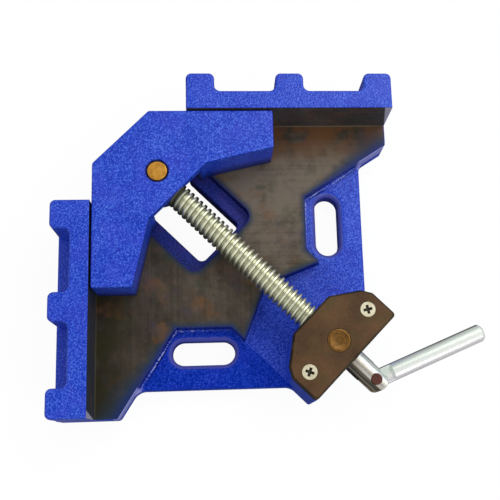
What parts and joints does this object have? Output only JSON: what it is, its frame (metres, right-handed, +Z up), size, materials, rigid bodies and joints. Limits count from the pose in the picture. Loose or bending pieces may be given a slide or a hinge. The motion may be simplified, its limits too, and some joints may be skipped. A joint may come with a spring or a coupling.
{
  "type": "corner clamp",
  "caption": "Welder's right-angle corner clamp: ribbed cast base with two fences, a sliding chevron jaw, a lead screw in a swivelling nut and a folding handle.",
  "frame": {"origin": "inside corner of the two fence faces, dropped to the bench plane", "axes": "+Z up from the bench, +X along one fence and +Y along the other, with the screw on the diagonal between them"},
  "size_m": [0.1822, 0.2269, 0.0435],
  "materials": {
    "blue_casting": "hammered blue paint on cast iron, bare machined bed and fence faces",
    "blue_jaw": "hammered blue paint on cast iron",
    "brown_cover": "dark brown oxide finish",
    "plated_steel": "bright zinc plate",
    "bronze": "turned bronze",
    "rivet": "dull reddish brown"
  },
  "bodies": {
    "base": {"base_casting": "blue_casting", "nut_cover": "brown_cover", "cover_screws": "plated_steel"},
    "nut": {"swivel_nut": "bronze"},
    "carriage": {"jaw_trunnion": "bronze", "thrust_washer": "plated_steel", "end_washer": "plated_steel"},
    "screw": {"lead_screw": "plated_steel", "retaining_ring": "plated_steel", "handle_rivet": "rivet"},
    "handle": {"handle_bar": "plated_steel"},
    "jaw": {"moving_jaw": "blue_jaw"}
  },
  "joints": [
    {"name": "nut_swivel", "type": "hinge", "parent": "base", "child": "nut", "pos_m": [0.12657, 0.12657, 0.0295], "axis": [0, 0, 1], "range_deg": [-0.25, 0.25]},
    {"name": "screw_feed", "type": "slide", "parent": "nut", "child": "carriage", "axis": [0.7071, 0.7071, 0], "range_m": [0, 0.08574]},
    {"name": "screw_turn", "type": "hinge", "parent": "carriage", "child": "screw", "pos_m": [0.03465, 0.03465, 0.0295], "axis": [0.7071, 0.7071, 0], "range_deg": [0, 9720]},
    {"name": "jaw_swivel", "type": "hinge", "parent": "carriage", "child": "jaw", "pos_m": [0.03465, 0.03465, 0.0295], "axis": [0, 0, 1], "range_deg": [-0.25, 0.25]},
    {"name": "handle_fold", "type": "hinge", "parent": "screw", "child": "handle", "pos_m": [0.14616, 0.14616, 0.0295], "axis": [0, 0, 1], "range_deg": [-167, 33]}
  ],
  "couplings": [
    {"joint": "screw_feed", "follows": "screw_turn", "m_per_rad": 0.00050532}
  ]
}
